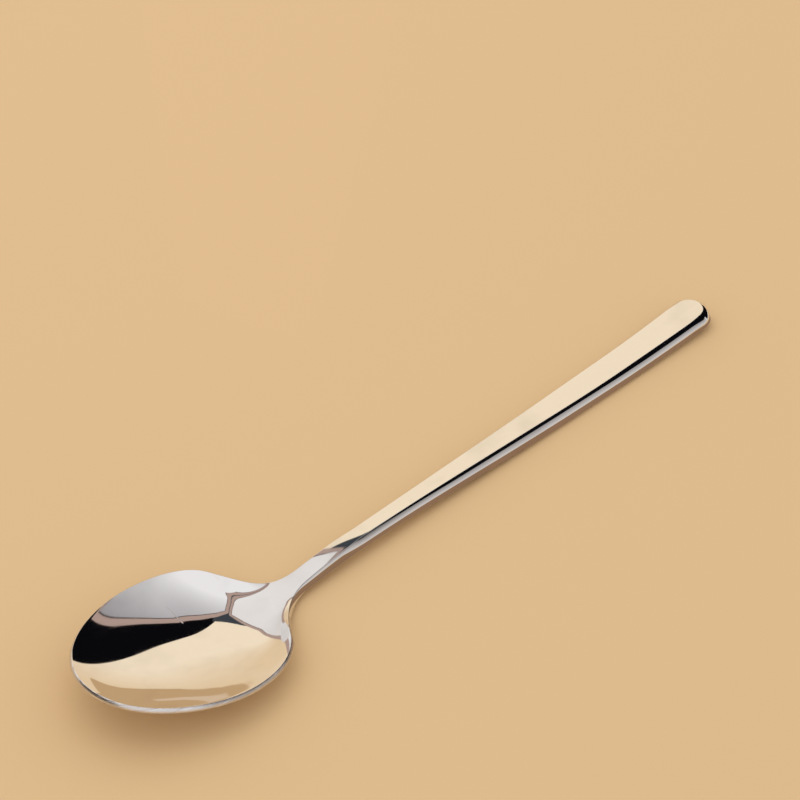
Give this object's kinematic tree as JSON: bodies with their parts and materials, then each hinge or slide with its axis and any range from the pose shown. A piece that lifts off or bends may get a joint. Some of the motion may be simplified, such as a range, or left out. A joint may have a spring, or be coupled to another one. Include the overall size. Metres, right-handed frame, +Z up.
{
  "type": "table spoon",
  "caption": "Polished steel table spoon with a round, shallow pressed bowl welded to a slim flat bar handle that widens to a rounded end.",
  "frame": {"origin": "on the table, under the middle of the spoon's length", "axes": "+X from the tip of the bowl to the end of the handle, +Y across the spoon, +Z up out of the bowl"},
  "size_m": [0.205, 0.0436, 0.0134],
  "materials": {
    "polished_steel": "mirror-polished stainless steel with fine hairline scratches"
  },
  "bodies": {
    "root": {"bowl": "polished_steel", "handle": "polished_steel"}
  },
  "joints": []
}
